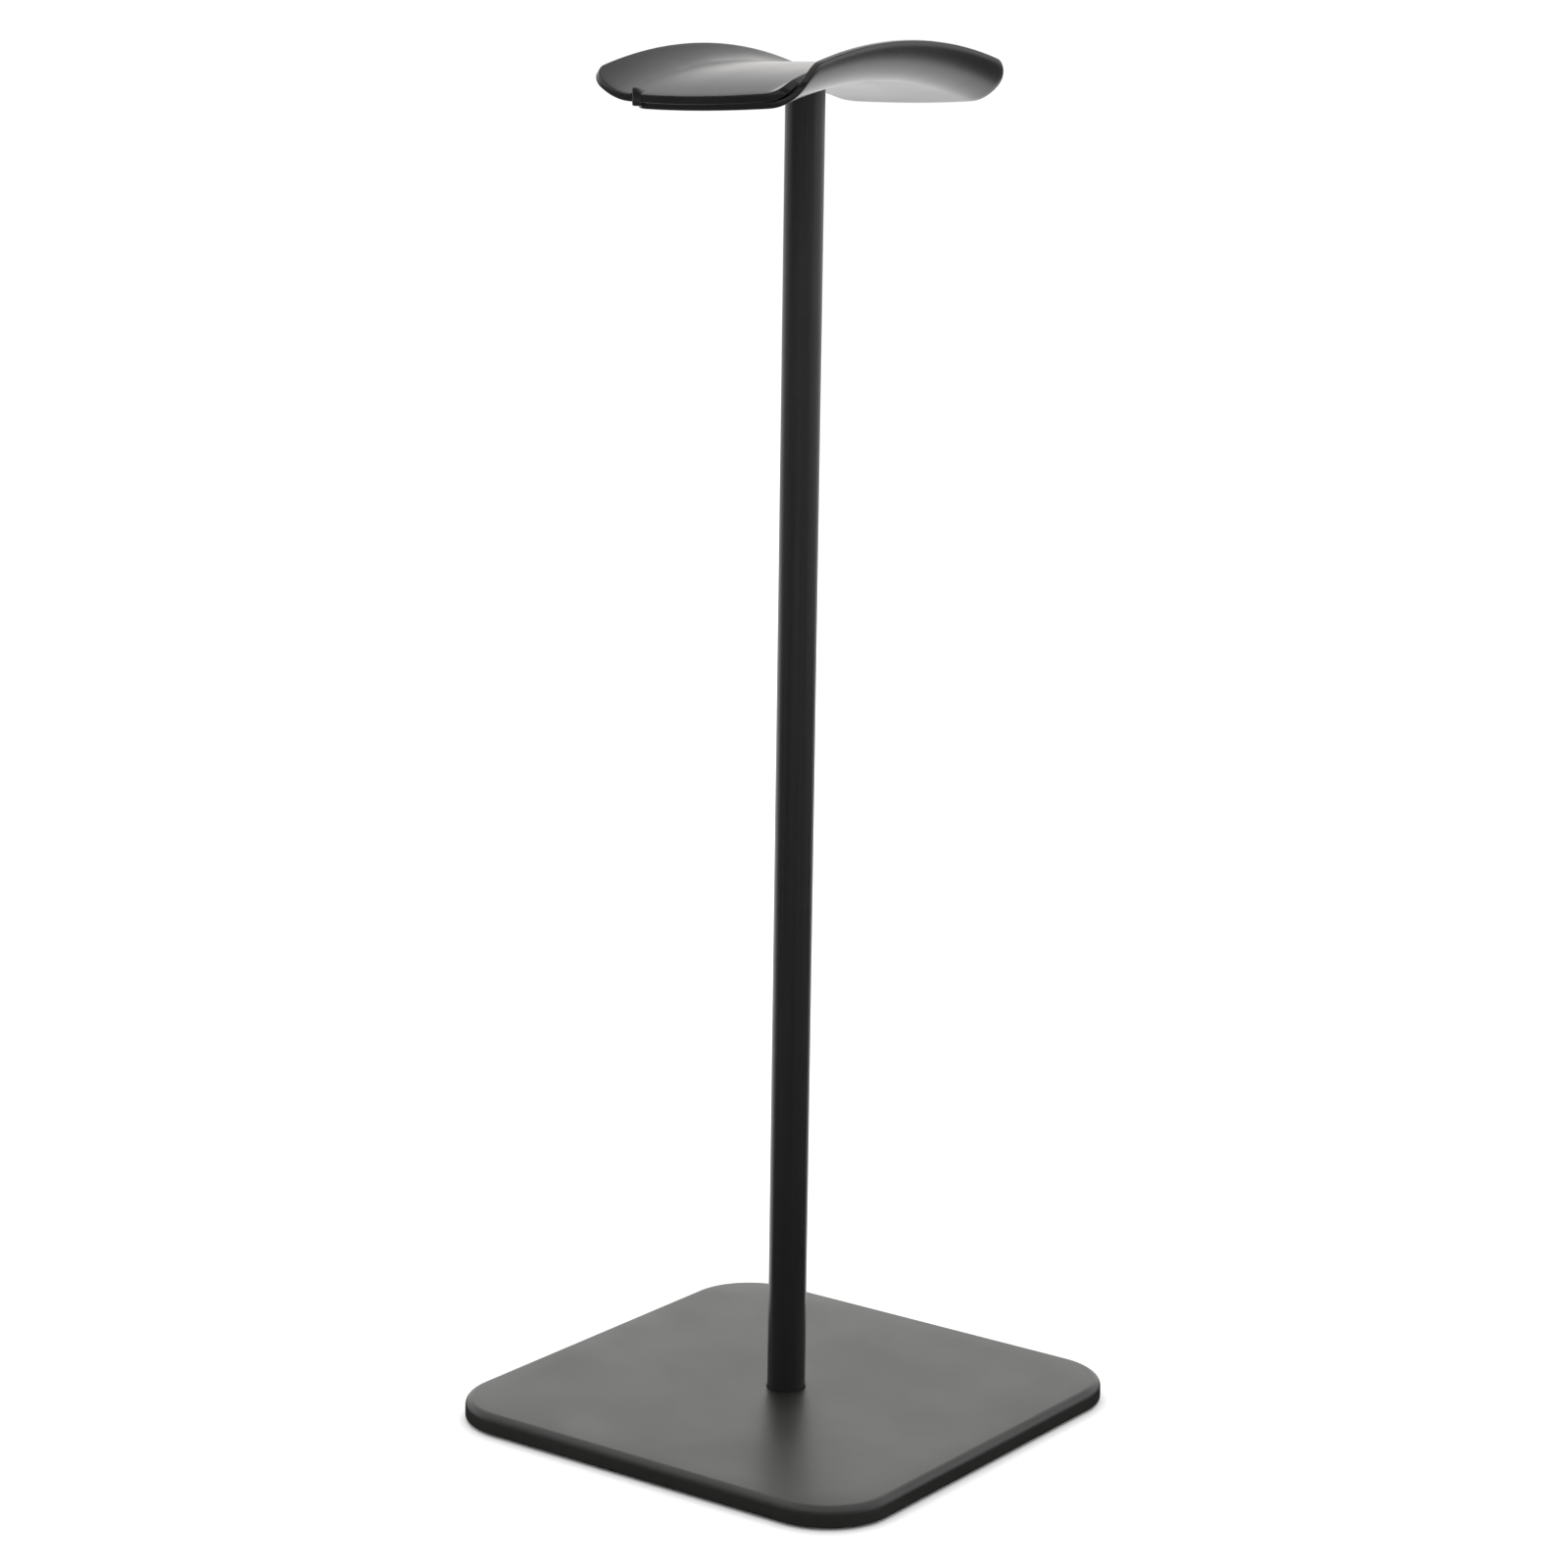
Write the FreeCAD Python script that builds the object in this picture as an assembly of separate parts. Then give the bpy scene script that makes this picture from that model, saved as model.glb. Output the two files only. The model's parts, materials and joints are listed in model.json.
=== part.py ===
"""Desktop headphone stand: a weighted square base, a slim round pole and a flexible saddle headrest.

Units are millimetres, +Z is up, and the origin is the centre of the plane that the feet rest on.
"""

import FreeCAD, Part

import math
import os

V = FreeCAD.Vector
Z_AXIS = V(0, 0, 1)
SHARP_COSINE = 0.8
PARALLEL_COSINE = 0.999
LEVEL_TOLERANCE = 1e-4
CUT_OVERRUN = 1.0
CORNER_EDGE_SHARE = 1.3

# Base: a moulded cover over a steel weight, closed from below by a screwed panel.
BASE_SIDE = 100.0
BASE_CORNER_R = 14.3
BASE_THICKNESS = 4.0
BASE_TOP_EDGE_R = 1.6
BASE_LOWER_EDGE_R = 0.4
COVER_SKIN = 1.0
COVER_WALL = 1.8
PANEL_THICKNESS = 1.0
PANEL_GAP = 0.15
WEIGHT_GAP = 0.5
COVER_POST_R = 2.4
POST_HOLE_GAP = 0.3

# Feet: soft discs stuck in shallow pockets under the panel.
FOOT_R = 6.0
FOOT_THICKNESS = 0.9
FOOT_PROUD = 0.5
FOOT_OFFSET = 36.0
FOOT_EDGE_R = 0.2
FOOT_DIMPLE_R = 3.0
FOOT_DIMPLE_DEPTH = 0.15
FOOT_POCKET_GAP = 0.2
TAPE_THICKNESS = 0.1
TAPE_R = 5.6

# Screws: shares of the head's radius, of the shank's radius and of the drive socket's reach.
SCREW_RIM_SHARE = 0.1
SCREW_POINT_SHARE = 0.5
RECESS_ARM_SHARE = 0.3
RECESS_MOUTH_SHARE = 1.1
RECESS_FLOOR_SHARE = 0.45

# Panel screws: small countersunk self-tapping screws.
PANEL_SCREW_OFFSET = 24.0
PANEL_SCREW_HEAD_R = 1.9
PANEL_SCREW_SHANK_R = 0.8
PANEL_SCREW_LENGTH = 3.2
PANEL_RECESS_REACH = 1.05
PANEL_RECESS_DEPTH = 0.7

# Pole: an aluminium tube with a threaded plug in each end.
POLE_R = 3.82
POLE_WALL = 1.0
POLE_HOLE_GAP = 0.1
POLE_END_CHAMFER = 0.15
PLUG_LENGTH = 12.0
PLUG_LEAD_CHAMFER = 0.4
THREAD_R = 2.0
POLE_SCREW_HEAD_R = 3.9
POLE_SCREW_LENGTH = 12.0
POLE_SCREW_ACCESS_R = 5.0
POLE_RECESS_REACH = 1.95
POLE_RECESS_DEPTH = 1.6
FIT_GAP = 0.02

# Headrest: two flexible leaves, arched along X and lying on each other. The lower one turns up as the
# front side of the saddle, and the upper one as its rear side. They meet at their ends, and the upper one
# bulges a little over the stud's head in the middle. Crowns are the levels of the faces that face each other.
LEAF_FLAT_HALF_WIDTH = 14.5
LEAF_EDGE_R = 0.35
LEAF_FREE_CORNER_R = 2.5
LEAF_OUTLINE_HALF_WIDTH = 27.0
ARCH_HALF_LENGTH = 42.0
ARCH_SWEEP_MARGIN = 1.1
LOWER_LEAF_THICKNESS = 1.3
LOWER_LEAF_CROWN_Z = 265.6
LOWER_LEAF_DROP = 4.98
LOWER_LEAF_HALF_LENGTH = 41.4
LOWER_LEAF_END_BOW = 6.0
LOWER_LEAF_BEND_R = 7.35
LOWER_LEAF_BEND_DEG = 82.0
LOWER_LEAF_FREE_Y = 13.8
LOWER_LEAF_CORNER_R = 2.0
UPPER_LEAF_THICKNESS = 1.6
UPPER_LEAF_CROWN_Z = 266.35
UPPER_LEAF_DROP = 5.7
UPPER_LEAF_HALF_LENGTH = 42.2
UPPER_LEAF_END_BOW = 6.5
UPPER_LEAF_BEND_R = 13.8
UPPER_LEAF_BEND_DEG = 45.3
UPPER_LEAF_FREE_DEG = 46.0
UPPER_LEAF_CORNER_R = 3.0
HEADREST_TURN_DEG = 6.05
HEADREST_LEAN_DEG = -1.4
HEADREST_PITCH_DEG = 0.33
HEADREST_SHIFT = V(0.1, -0.17, 0)
TRIM_DEPTH = 40.0

# Locating tabs: one at each end of the lower leaf, standing in a notch of the upper leaf's end.
TAB_WIDTH = 2.2
TAB_INSET = 0.4
TAB_DEPTH = 1.8
TAB_ROOT = 0.8
TAB_HEIGHT = 2.8
TAB_CHAMFER = 1.2
TAB_GAP = 0.05
NOTCH_OPENING = 2.0

# Headrest fixing: a stud with a wide flat head, sunk in the lower leaf, and an adhesive pad on the head.
STUD_HEAD_R = 7.0
STUD_HEAD_THICKNESS = 0.5
STUD_HEAD_SINK = 0.3
STUD_REACH = 10.0
STUD_GAP = 0.02
POLE_SEAT_DEPTH = 0.15
SEAT_CUT_LENGTH = 5.0
BOND_PAD_R = 6.5
BOND_PAD_THICKNESS = 0.4

# Levels, from the desk upwards.
PANEL_Z = FOOT_PROUD
WEIGHT_Z = PANEL_Z + PANEL_THICKNESS
COVER_TOP_Z = FOOT_PROUD + BASE_THICKNESS
SKIN_Z = COVER_TOP_Z - COVER_SKIN
POLE_BOTTOM_Z = SKIN_Z
POLE_TOP_Z = LOWER_LEAF_CROWN_Z - LOWER_LEAF_THICKNESS + POLE_SEAT_DEPTH
STUD_HEAD_Z = LOWER_LEAF_CROWN_Z - STUD_HEAD_SINK
STUD_TOP_Z = STUD_HEAD_Z + STUD_HEAD_THICKNESS
POLE_BORE_R = POLE_R - POLE_WALL

CORNER_SIGNS = {
    "front_left": (-1, -1),
    "front_right": (1, -1),
    "rear_left": (-1, 1),
    "rear_right": (1, 1),
}


def disc(radius, z_low, z_high, x=0.0, y=0.0):
    """A vertical cylinder between two levels."""
    return Part.makeCylinder(radius, z_high - z_low, V(x, y, z_low), Z_AXIS)


def vertical_edges(solid):
    """The straight edges of a solid that run along Z."""
    found = []
    for edge in solid.Edges:
        if edge.Curve.TypeId != "Part::GeomLine":
            continue
        direction = edge.tangentAt(edge.FirstParameter)
        if abs(direction.z) > PARALLEL_COSINE:
            found.append(edge)
    return found


def edges_at(solid, z):
    """The edges of a solid that lie wholly in one level."""
    found = []
    for edge in solid.Edges:
        box = edge.BoundBox
        if abs(box.ZMin - z) < LEVEL_TOLERANCE and abs(box.ZMax - z) < LEVEL_TOLERANCE:
            found.append(edge)
    return found


def sharp_edges(solid):
    """The edges of a solid where two faces meet at a clear angle."""
    found = []
    for edge in solid.Edges:
        faces = solid.ancestorsOfType(edge, Part.Face)
        if len(faces) < 2:
            continue
        middle = edge.valueAt((edge.FirstParameter + edge.LastParameter) / 2)
        normals = [face.normalAt(*face.Surface.parameter(middle)) for face in faces]
        if abs(normals[0].dot(normals[1])) < SHARP_COSINE:
            found.append(edge)
    return found


def rounded_plate(side, corner_r, z_low, z_high):
    """A square plate centred on the pole, with rounded corners."""
    plate = Part.makeBox(side, side, z_high - z_low, V(-side / 2, -side / 2, z_low))
    return plate.makeFillet(corner_r, vertical_edges(plate))


def countersunk_screw(head_r, shank_r, length, z_head):
    """A 90 degree countersunk screw pointing up, with its flat head face at z_head."""
    rim = SCREW_RIM_SHARE * head_r
    cone = Part.makeCone(head_r, shank_r, head_r - shank_r, V(0, 0, z_head + rim), Z_AXIS)
    shank_end = z_head + length
    point = SCREW_POINT_SHARE * shank_r
    shank = disc(shank_r, z_head + rim, shank_end - point)
    tip = Part.makeCone(shank_r, shank_r - point, point, V(0, 0, shank_end - point), Z_AXIS)
    return disc(head_r, z_head, z_head + rim).fuse([cone, shank, tip]).removeSplitter()


def countersink(head_r, shank_r, z_face, z_top, gap):
    """The clearance cut that a countersunk screw needs in the plate that it passes through."""
    rim = SCREW_RIM_SHARE * head_r
    cone_height = head_r - shank_r
    mouth = disc(head_r + gap, z_face - gap, z_face + rim)
    cone = Part.makeCone(head_r + gap, shank_r + gap, cone_height, V(0, 0, z_face + rim), Z_AXIS)
    return mouth.fuse([cone, disc(shank_r + gap, z_face, z_top)])


def cross_recess(reach, depth, z_face):
    """A tapered cross-shaped drive socket, cut upwards from a screw head's face."""
    arm = RECESS_ARM_SHARE * reach
    slots = []
    for angle in (0, 90):
        slot = Part.makeBox(2 * reach, 2 * arm, depth, V(-reach, -arm, z_face))
        slot.rotate(V(0, 0, 0), Z_AXIS, angle)
        slots.append(slot)
    mouth_r = RECESS_MOUTH_SHARE * reach
    floor_r = RECESS_FLOOR_SHARE * reach
    taper = Part.makeCone(mouth_r, floor_r, depth, V(0, 0, z_face), Z_AXIS)
    return slots[0].fuse(slots[1]).common(taper)


def at_screw_places(shape):
    """Copies of a shape at the four panel screws, on the base's centre lines."""
    places = [
        V(PANEL_SCREW_OFFSET, 0, 0),
        V(0, PANEL_SCREW_OFFSET, 0),
        V(-PANEL_SCREW_OFFSET, 0, 0),
        V(0, -PANEL_SCREW_OFFSET, 0),
    ]
    return [shape.translated(place) for place in places]


def at_foot_places(shape):
    """Copies of a shape at the four feet, near the base's corners."""
    return [shape.translated(V(sx * FOOT_OFFSET, sy * FOOT_OFFSET, 0)) for sx, sy in CORNER_SIGNS.values()]


def make_base_cover():
    """The moulded top shell: a skin, a rim wall and four screw posts."""
    cover = rounded_plate(BASE_SIDE, BASE_CORNER_R, PANEL_Z, COVER_TOP_Z)
    cover = cover.makeFillet(BASE_TOP_EDGE_R, edges_at(cover, COVER_TOP_Z))
    cover = cover.makeFillet(BASE_LOWER_EDGE_R, edges_at(cover, PANEL_Z))
    cut_from = PANEL_Z - CUT_OVERRUN
    cavity = rounded_plate(BASE_SIDE - 2 * COVER_WALL, BASE_CORNER_R - COVER_WALL, cut_from, SKIN_Z)
    cover = cover.cut(cavity)
    posts = at_screw_places(disc(COVER_POST_R, WEIGHT_Z, SKIN_Z))
    pilot_top = PANEL_Z + PANEL_SCREW_LENGTH
    pilots = at_screw_places(disc(PANEL_SCREW_SHANK_R + FIT_GAP, WEIGHT_Z - CUT_OVERRUN, pilot_top))
    pole_hole = disc(POLE_R + POLE_HOLE_GAP, SKIN_Z - CUT_OVERRUN, COVER_TOP_Z + CUT_OVERRUN)
    return cover.fuse(posts).cut(pilots + [pole_hole]).removeSplitter()


def make_base_weight():
    """The stamped steel plate that gives the stand its weight and carries the pole."""
    inset = COVER_WALL + WEIGHT_GAP
    plate = rounded_plate(BASE_SIDE - 2 * inset, BASE_CORNER_R - inset, WEIGHT_Z, SKIN_Z)
    cut_to = SKIN_Z + CUT_OVERRUN
    post_holes = at_screw_places(disc(COVER_POST_R + POST_HOLE_GAP, WEIGHT_Z - CUT_OVERRUN, cut_to))
    screw_hole = countersink(POLE_SCREW_HEAD_R, THREAD_R - FIT_GAP, WEIGHT_Z, cut_to, FIT_GAP)
    return plate.cut(post_holes + [screw_hole])


def make_base_panel():
    """The flat panel that closes the base, with pockets for the feet."""
    inset = COVER_WALL + PANEL_GAP
    panel = rounded_plate(BASE_SIDE - 2 * inset, BASE_CORNER_R - inset, PANEL_Z, WEIGHT_Z)
    pocket_top = PANEL_Z + FOOT_THICKNESS - FOOT_PROUD + TAPE_THICKNESS
    cut_from = PANEL_Z - CUT_OVERRUN
    cut_to = WEIGHT_Z + CUT_OVERRUN
    pockets = at_foot_places(disc(FOOT_R + FOOT_POCKET_GAP, cut_from, pocket_top))
    sinks = countersink(PANEL_SCREW_HEAD_R, PANEL_SCREW_SHANK_R, PANEL_Z, cut_to, 2 * FIT_GAP)
    access = disc(POLE_SCREW_ACCESS_R, cut_from, cut_to)
    return panel.cut(pockets + at_screw_places(sinks) + [access])


def make_panel_screws():
    """The four screws that hold the panel to the cover's posts."""
    screw = countersunk_screw(PANEL_SCREW_HEAD_R, PANEL_SCREW_SHANK_R, PANEL_SCREW_LENGTH, PANEL_Z)
    screw = screw.cut(cross_recess(PANEL_RECESS_REACH, PANEL_RECESS_DEPTH, PANEL_Z))
    return Part.makeCompound(at_screw_places(screw))


def make_foot():
    """One soft foot at the centre of the base: a disc with eased edges and a shallow dimple."""
    foot = disc(FOOT_R, 0, FOOT_THICKNESS)
    foot = foot.makeFillet(FOOT_EDGE_R, edges_at(foot, 0))
    return foot.cut(disc(FOOT_DIMPLE_R, -CUT_OVERRUN, FOOT_DIMPLE_DEPTH))


def make_foot_tape():
    """The adhesive disc between one foot and its pocket."""
    return disc(TAPE_R, FOOT_THICKNESS, FOOT_THICKNESS + TAPE_THICKNESS)


def make_pole_tube():
    """The round tube, standing on the weight and carrying the headrest."""
    tube = disc(POLE_R, POLE_BOTTOM_Z, POLE_TOP_Z)
    ends = edges_at(tube, POLE_BOTTOM_Z) + edges_at(tube, POLE_TOP_Z)
    tube = tube.makeChamfer(POLE_END_CHAMFER, ends)
    return tube.cut(disc(POLE_BORE_R, POLE_BOTTOM_Z - CUT_OVERRUN, POLE_TOP_Z + CUT_OVERRUN))


def make_plug(z_low, lead_z):
    """A threaded plug in the tube's bore, chamfered at the end that went in first."""
    plug = disc(POLE_BORE_R - FIT_GAP, z_low, z_low + PLUG_LENGTH)
    plug = plug.makeChamfer(PLUG_LEAD_CHAMFER, edges_at(plug, lead_z))
    return plug.cut(disc(THREAD_R, z_low - CUT_OVERRUN, z_low + PLUG_LENGTH + CUT_OVERRUN))


def make_pole_screw():
    """The countersunk machine screw that pulls the pole down on to the weight."""
    screw = countersunk_screw(POLE_SCREW_HEAD_R, THREAD_R - FIT_GAP, POLE_SCREW_LENGTH, WEIGHT_Z)
    return screw.cut(cross_recess(POLE_RECESS_REACH, POLE_RECESS_DEPTH, WEIGHT_Z))


def make_headrest_stud():
    """The stud that screws the headrest to the pole, with a wide flat head between the leaves."""
    shank_bottom = POLE_TOP_Z - STUD_REACH
    shank = disc(THREAD_R - FIT_GAP, shank_bottom, STUD_HEAD_Z)
    shank = shank.makeChamfer(PLUG_LEAD_CHAMFER, edges_at(shank, shank_bottom))
    return disc(STUD_HEAD_R, STUD_HEAD_Z, STUD_TOP_Z).fuse(shank).removeSplitter()


def make_bond_pad():
    """The adhesive pad that holds the upper leaf on the stud's head."""
    return disc(BOND_PAD_R, STUD_TOP_Z, STUD_TOP_Z + BOND_PAD_THICKNESS)


def section_face(crown_z, height, front, rear):
    """One face of a leaf's section: a flat middle, and on each side a bend of (flat, radius, degrees)."""
    edges = []
    roots = []
    tips = []
    for side, (flat, bend_r, bend_deg) in ((-1, front), (1, rear)):
        radius = bend_r - height
        points = []
        for degrees in (0, bend_deg / 2, bend_deg):
            turn = math.radians(degrees)
            across = flat + radius * math.sin(turn)
            points.append(V(0, side * across, crown_z + bend_r - radius * math.cos(turn)))
        if bend_deg > 0:
            edges.append(Part.Arc(*points).toShape())
        roots.append(points[0])
        tips.append(points[-1])
    edges.append(Part.LineSegment(*roots).toShape())
    return edges, tips


def leaf_section(crown_z, low, high, front, rear):
    """The closed cross-section of a leaf, between two heights over its crown's level."""
    low_edges, low_tips = section_face(crown_z, low, front, rear)
    high_edges, high_tips = section_face(crown_z, high, front, rear)
    sides = [Part.LineSegment(a, b).toShape() for a, b in zip(low_tips, high_tips)]
    return Part.Face(Part.Wire(Part.__sortEdges__(low_edges + high_edges + sides)))


def arched(section, crown_z, drop):
    """A cross-section swept along an arch that falls by drop over the arch's half length."""
    arch_r = ARCH_HALF_LENGTH ** 2 / (2 * drop)
    axis_point = V(0, 0, crown_z - arch_r)
    sweep_deg = math.degrees(math.asin(ARCH_SWEEP_MARGIN * ARCH_HALF_LENGTH / arch_r))
    section.rotate(axis_point, V(0, 1, 0), -sweep_deg)
    return section.revolve(axis_point, V(0, 1, 0), 2 * sweep_deg)


def bowed_prism(half_length, end_bow):
    """A tall prism whose two ends bow outwards, to trim a leaf to its length."""
    shoulder = half_length - end_bow
    low = LOWER_LEAF_CROWN_Z - TRIM_DEPTH
    signs = ((1, -1), (1, 1), (-1, 1), (-1, -1))
    corners = [V(sx * shoulder, sy * LEAF_OUTLINE_HALF_WIDTH, low) for sx, sy in signs]
    edges = [
        Part.Arc(corners[0], V(half_length, 0, low), corners[1]).toShape(),
        Part.LineSegment(corners[1], corners[2]).toShape(),
        Part.Arc(corners[2], V(-half_length, 0, low), corners[3]).toShape(),
        Part.LineSegment(corners[3], corners[0]).toShape(),
    ]
    return Part.Face(Part.Wire(edges)).extrude(V(0, 0, 2 * TRIM_DEPTH))


def round_leaf(sheet, thickness, flange_side, corner_r):
    """Round the corners of a leaf, at its turned-up side and at its free side, and ease its edges."""
    longest_corner = CORNER_EDGE_SHARE * thickness
    for side, radius in ((flange_side, corner_r), (-flange_side, LEAF_FREE_CORNER_R)):
        corners = []
        for edge in sheet.Edges:
            if edge.Length < longest_corner and edge.CenterOfMass.y * side > 0:
                corners.append(edge)
        sheet = sheet.makeFillet(radius, corners)
    return sheet.makeFillet(LEAF_EDGE_R, sharp_edges(sheet))


def on_headrest(shape):
    """A shape leaned, pitched, turned and shifted from the base's axes to the headrest's."""
    pivot = V(0, 0, LOWER_LEAF_CROWN_Z)
    shape.rotate(pivot, V(1, 0, 0), HEADREST_LEAN_DEG)
    shape.rotate(pivot, V(0, 1, 0), HEADREST_PITCH_DEG)
    shape.rotate(pivot, Z_AXIS, HEADREST_TURN_DEG)
    return shape.translated(HEADREST_SHIFT)


def locating_tabs(gap, opening):
    """The two locating tabs, or with a gap and an opening the notches that they stand in."""
    rear_y = LOWER_LEAF_FREE_Y - TAB_INSET
    front_y = rear_y - TAB_WIDTH
    outer_x = UPPER_LEAF_HALF_LENGTH - UPPER_LEAF_END_BOW * (rear_y / LEAF_OUTLINE_HALF_WIDTH) ** 2
    top_face_z = LOWER_LEAF_CROWN_Z - LOWER_LEAF_DROP * (outer_x / ARCH_HALF_LENGTH) ** 2
    root_z = top_face_z - TAB_ROOT
    top_z = top_face_z + TAB_HEIGHT
    outline = [
        V(0, front_y - gap, root_z),
        V(0, rear_y + gap, root_z),
        V(0, rear_y + gap, top_z + gap),
        V(0, front_y + TAB_CHAMFER - gap, top_z + gap),
        V(0, front_y - gap, top_z - TAB_CHAMFER),
    ]
    face = Part.Face(Part.makePolygon(outline + outline[:1]))
    tab = face.extrude(V(TAB_DEPTH + 2 * gap + opening, 0, 0))
    starts = (-outer_x - gap - opening, outer_x - TAB_DEPTH - gap)
    return [tab.translated(V(x, 0, 0)) for x in starts]


def make_lower_leaf():
    """The leaf on the pole: its front side turns up, and its rear side ends free, with two locating tabs."""
    front = (LEAF_FLAT_HALF_WIDTH, LOWER_LEAF_BEND_R, LOWER_LEAF_BEND_DEG)
    rear = (LOWER_LEAF_FREE_Y, LOWER_LEAF_BEND_R, 0)
    section = leaf_section(LOWER_LEAF_CROWN_Z, -LOWER_LEAF_THICKNESS, 0, front, rear)
    sheet = arched(section, LOWER_LEAF_CROWN_Z, LOWER_LEAF_DROP)
    sheet = sheet.common(bowed_prism(LOWER_LEAF_HALF_LENGTH, LOWER_LEAF_END_BOW)).Solids[0]
    sheet = round_leaf(sheet, LOWER_LEAF_THICKNESS, -1, LOWER_LEAF_CORNER_R)
    leaf = on_headrest(sheet.fuse(locating_tabs(0, 0)))
    pole_seat = disc(POLE_R + STUD_GAP, POLE_TOP_Z - SEAT_CUT_LENGTH, POLE_TOP_Z)
    head_seat = disc(STUD_HEAD_R + STUD_GAP, STUD_HEAD_Z, STUD_HEAD_Z + SEAT_CUT_LENGTH)
    return leaf.cut([pole_seat, head_seat, disc(THREAD_R, POLE_TOP_Z - SEAT_CUT_LENGTH, STUD_TOP_Z)])


def make_upper_leaf():
    """The leaf on top: its rear side turns up, and its front side ends free inside the lower leaf's bend."""
    front = (LEAF_FLAT_HALF_WIDTH, LOWER_LEAF_BEND_R, UPPER_LEAF_FREE_DEG)
    rear = (LEAF_FLAT_HALF_WIDTH, UPPER_LEAF_BEND_R, UPPER_LEAF_BEND_DEG)
    section = leaf_section(UPPER_LEAF_CROWN_Z, 0, UPPER_LEAF_THICKNESS, front, rear)
    sheet = arched(section, UPPER_LEAF_CROWN_Z, UPPER_LEAF_DROP)
    sheet = sheet.common(bowed_prism(UPPER_LEAF_HALF_LENGTH, UPPER_LEAF_END_BOW)).Solids[0]
    sheet = round_leaf(sheet, UPPER_LEAF_THICKNESS, 1, UPPER_LEAF_CORNER_R)
    return on_headrest(sheet.cut(locating_tabs(TAB_GAP, NOTCH_OPENING))).cut(make_bond_pad())


def build_nodes():
    """Every sub-part of the stand, by node name."""
    nodes = {
        "base_cover": make_base_cover(),
        "base_weight": make_base_weight(),
        "base_bottom_panel": make_base_panel(),
        "panel_screws": make_panel_screws(),
        "pole_tube": make_pole_tube(),
        "pole_lower_plug": make_plug(POLE_BOTTOM_Z, POLE_BOTTOM_Z + PLUG_LENGTH),
        "pole_upper_plug": make_plug(POLE_TOP_Z - PLUG_LENGTH, POLE_TOP_Z - PLUG_LENGTH),
        "pole_screw": make_pole_screw(),
        "headrest_stud": make_headrest_stud(),
        "headrest_lower_leaf": make_lower_leaf(),
        "headrest_upper_leaf": make_upper_leaf(),
        "headrest_bond_pad": make_bond_pad(),
    }
    for corner, (sx, sy) in CORNER_SIGNS.items():
        place = V(sx * FOOT_OFFSET, sy * FOOT_OFFSET, 0)
        nodes["foot_" + corner] = make_foot().translated(place)
        nodes["foot_tape_" + corner] = make_foot_tape().translated(place)
    return nodes


os.makedirs("parts", exist_ok=True)
for name, shape in build_nodes().items():
    box = shape.BoundBox
    print(f"{name:24s} solids {len(shape.Solids)} valid {shape.isValid()} volume {shape.Volume:10.2f}"
          f"  x {box.XMin:.2f}..{box.XMax:.2f} y {box.YMin:.2f}..{box.YMax:.2f} z {box.ZMin:.2f}..{box.ZMax:.2f}")
    shape.exportStep("parts/" + name + ".step")
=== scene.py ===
"""Looks for the headphone stand: satin moulded base, black anodised pole and flexible two-leaf headrest."""

import json
import math

import bmesh
import bpy
from mathutils import Matrix, Vector


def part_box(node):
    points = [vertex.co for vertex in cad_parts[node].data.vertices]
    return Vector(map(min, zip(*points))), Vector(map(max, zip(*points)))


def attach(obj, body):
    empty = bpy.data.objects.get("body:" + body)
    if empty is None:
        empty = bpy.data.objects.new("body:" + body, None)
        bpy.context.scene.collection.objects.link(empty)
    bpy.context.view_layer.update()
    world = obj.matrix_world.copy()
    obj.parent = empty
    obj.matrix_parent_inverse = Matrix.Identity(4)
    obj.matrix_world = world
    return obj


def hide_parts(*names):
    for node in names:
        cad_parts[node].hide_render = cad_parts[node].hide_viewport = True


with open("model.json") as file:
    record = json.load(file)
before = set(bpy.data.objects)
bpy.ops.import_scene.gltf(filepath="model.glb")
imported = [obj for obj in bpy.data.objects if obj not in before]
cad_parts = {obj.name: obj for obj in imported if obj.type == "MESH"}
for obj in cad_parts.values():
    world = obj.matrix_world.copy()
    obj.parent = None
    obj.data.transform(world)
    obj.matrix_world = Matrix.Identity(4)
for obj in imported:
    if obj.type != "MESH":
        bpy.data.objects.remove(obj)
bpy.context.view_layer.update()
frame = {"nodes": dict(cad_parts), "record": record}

MM = 0.001
NODES = frame["nodes"]

# The stand's driving sizes, in millimetres, as the CAD model has them. The leaves' rim is rounded less here.
CORNER_R = 14.3
TOP_EDGE_R = 1.6
LOWER_EDGE_R = 0.4
COVER_SKIN = 1.0
COVER_WALL = 1.8
POLE_HOLE_GAP = 0.1
POLE_WALL = 1.0
LEAF_EDGE_R = 0.22
FLAT_HALF_WIDTH = 14.5
OUTLINE_HALF_WIDTH = 27.0
ARCH_HALF_LENGTH = 42.0
HEADREST_PIVOT_Z = 265.6
HEADREST_TURN_DEG = 6.05
HEADREST_LEAN_DEG = -1.4
HEADREST_PITCH_DEG = 0.33
HEADREST_SHIFT = (0.1, -0.17, 0.0)

# The locating tabs, in the headrest's axes: one at each end of the lower leaf, in a notch of the upper one.
TAB_FRONT_Y = 11.2
TAB_REAR_Y = 13.4
TAB_OUTER_X = 40.6
TAB_DEPTH = 1.8
TAB_ROOT_Z = 260.3
TAB_TOP_Z = 263.75
TAB_CHAMFER = 1.2
TAB_EDGE_R = 0.42
NOTCH_GAP = 0.1
NOTCH_OPENING = 2.0

# The leaves' pockets for the pole, the stud, its head and the bond pad.
SEAT_GAP = 0.02
SEAT_CUT_LENGTH = 5.0
SHANK_HOLE_R = 2.0
STUD_HEAD_SINK = 0.3


# ---------------------------------------------------------------- materials

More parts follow.
